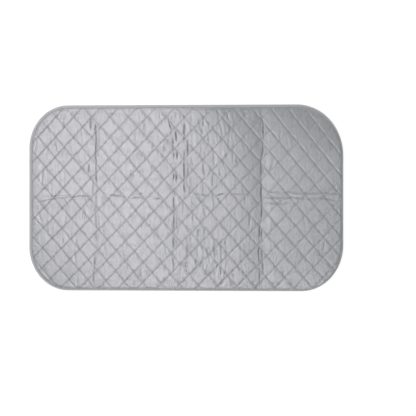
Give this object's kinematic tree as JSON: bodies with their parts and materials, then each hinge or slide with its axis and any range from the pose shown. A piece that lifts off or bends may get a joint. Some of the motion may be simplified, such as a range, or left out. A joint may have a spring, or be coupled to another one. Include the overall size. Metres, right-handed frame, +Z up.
{
  "type": "quilted ironing pad",
  "caption": "Flat padded mat with rounded corners for ironing on a table: silver coated cover sewn in diamonds over wadding and backing, bound with grey tape, folding along crosswise creases.",
  "frame": {"origin": "centre of the pad at the level of its underside, so it lies on z = 0", "axes": "+X along the pad's length, +Y across it toward the rear edge, +Z up out of the ironing face"},
  "size_m": [0.85, 0.45, 0.005],
  "materials": {
    "silver_cloth": "silver coated woven cloth, satin",
    "wadding": "polyester fibre batt",
    "backing_cloth": "plain woven cloth, matt",
    "binding_tape": "woven tape, matt"
  },
  "bodies": {
    "right_middle": {"backing_right_middle": "backing_cloth", "wadding_right_middle": "wadding", "cover_right_middle": "silver_cloth", "binding_right_middle_front": "binding_tape", "binding_right_middle_rear": "binding_tape"},
    "left_middle": {"backing_left_middle": "backing_cloth", "wadding_left_middle": "wadding", "cover_left_middle": "silver_cloth", "binding_left_middle_front": "binding_tape", "binding_left_middle_rear": "binding_tape"},
    "left_end": {"backing_left_end": "backing_cloth", "wadding_left_end": "wadding", "cover_left_end": "silver_cloth", "binding_left_end": "binding_tape"},
    "right_end": {"backing_right_end": "backing_cloth", "wadding_right_end": "wadding", "cover_right_end": "silver_cloth", "binding_right_end": "binding_tape"}
  },
  "joints": [
    {"name": "middle_fold", "type": "hinge", "parent": "right_middle", "child": "left_middle", "pos_m": [-0.026, 0, 0.0115], "axis": [0, 1, 0], "range_deg": [0, 180]},
    {"name": "left_fold", "type": "hinge", "parent": "left_middle", "child": "left_end", "pos_m": [-0.243, 0, 0.0055], "axis": [0, 1, 0], "range_deg": [0, 180]},
    {"name": "right_fold", "type": "hinge", "parent": "right_middle", "child": "right_end", "pos_m": [0.208, 0, 0.0055], "axis": [0, -1, 0], "range_deg": [0, 180]}
  ]
}
